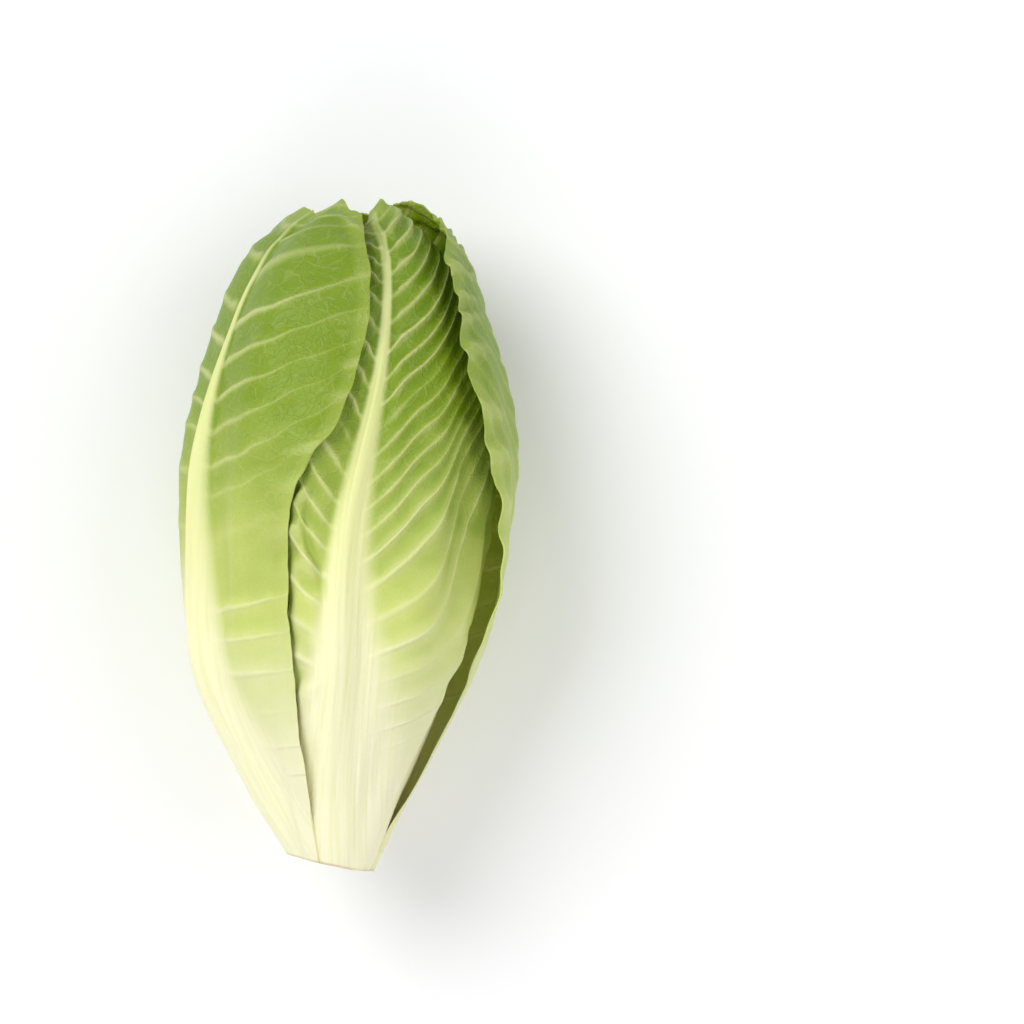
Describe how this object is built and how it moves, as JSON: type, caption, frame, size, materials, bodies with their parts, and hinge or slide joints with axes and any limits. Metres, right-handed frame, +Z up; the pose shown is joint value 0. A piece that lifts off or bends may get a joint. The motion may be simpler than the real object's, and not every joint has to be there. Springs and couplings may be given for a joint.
{
  "type": "romaine lettuce head",
  "caption": "Small romaine lettuce head of nested, overlapping leaves with pale midribs, cut at the stem and lying on its side",
  "frame": {"origin": "middle of the bottom of the head's bounding box, on the floor that it lies on", "axes": "+Z up, +Y along the head from the cut stem to the leaf tips, +X across the head"},
  "size_m": [0.0807, 0.1609, 0.0754],
  "materials": {
    "stem_cream": "moist cut plant stem",
    "outer_leaf_green": "satin leaf",
    "middle_leaf_green": "satin leaf",
    "heart_leaf_green": "satin leaf"
  },
  "bodies": {
    "root": {"stem": "stem_cream", "outer_leaf_1": "outer_leaf_green", "outer_leaf_2": "outer_leaf_green", "outer_leaf_3": "outer_leaf_green", "outer_leaf_4": "outer_leaf_green", "outer_leaf_5": "outer_leaf_green", "outer_leaf_6": "outer_leaf_green", "middle_leaf_1": "middle_leaf_green", "middle_leaf_2": "middle_leaf_green", "middle_leaf_3": "middle_leaf_green", "middle_leaf_4": "middle_leaf_green", "middle_leaf_5": "middle_leaf_green", "middle_leaf_6": "middle_leaf_green", "heart_leaf_1": "heart_leaf_green", "heart_leaf_2": "heart_leaf_green", "heart_leaf_3": "heart_leaf_green", "heart_leaf_4": "heart_leaf_green", "heart_leaf_5": "heart_leaf_green", "heart_leaf_6": "heart_leaf_green"}
  },
  "joints": []
}
